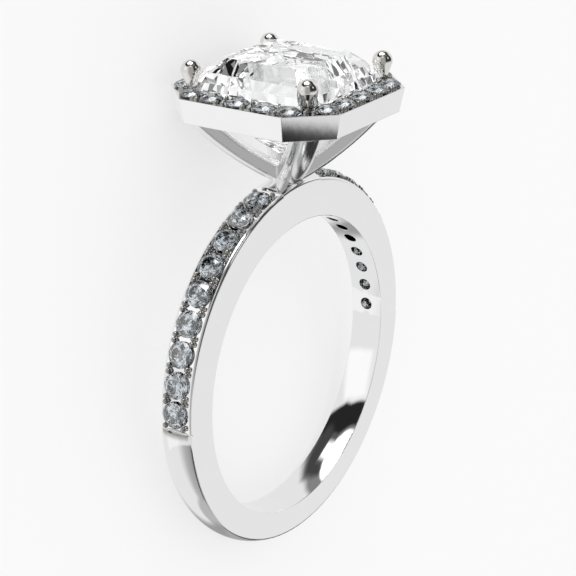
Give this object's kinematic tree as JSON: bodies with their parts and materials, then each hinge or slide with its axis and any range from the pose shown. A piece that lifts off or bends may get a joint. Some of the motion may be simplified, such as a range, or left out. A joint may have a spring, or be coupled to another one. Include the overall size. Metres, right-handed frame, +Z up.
{
  "type": "halo ring",
  "caption": "White gold finger ring: a square cut-corner stone held by claws inside a halo of round pavé stones, more round stones down both shoulders",
  "frame": {"origin": "bottom centre of the bounding box, on the surface that the ring lies on", "axes": "+Z up; the ring lies on its side and rests on the lower edge of the band at +Y and on one long edge of the halo at -Y; the head points to -Y; the finger hole's axis leans 9.5 degrees from Z towards +Y"},
  "size_m": [0.0208, 0.0272, 0.0102],
  "materials": {
    "metal": "polished white gold",
    "stone": "clear faceted stone"
  },
  "bodies": {
    "root": {"mounting": "metal", "centre_stone": "stone", "band_stone_left_1": "stone", "band_stone_left_2": "stone", "band_stone_left_3": "stone", "band_stone_left_4": "stone", "band_stone_left_5": "stone", "band_stone_left_6": "stone", "band_stone_left_7": "stone", "band_stone_left_8": "stone", "band_stone_left_9": "stone", "band_stone_right_1": "stone", "band_stone_right_2": "stone", "band_stone_right_3": "stone", "band_stone_right_4": "stone", "band_stone_right_5": "stone", "band_stone_right_6": "stone", "band_stone_right_7": "stone", "band_stone_right_8": "stone", "band_stone_right_9": "stone", "halo_stone_1": "stone", "halo_stone_2": "stone", "halo_stone_3": "stone", "halo_stone_4": "stone", "halo_stone_5": "stone", "halo_stone_6": "stone", "halo_stone_7": "stone", "halo_stone_8": "stone", "halo_stone_9": "stone", "halo_stone_10": "stone", "halo_stone_11": "stone", "halo_stone_12": "stone", "halo_stone_13": "stone", "halo_stone_14": "stone", "halo_stone_15": "stone", "halo_stone_16": "stone", "halo_stone_17": "stone", "halo_stone_18": "stone", "halo_stone_19": "stone", "halo_stone_20": "stone"}
  },
  "joints": []
}
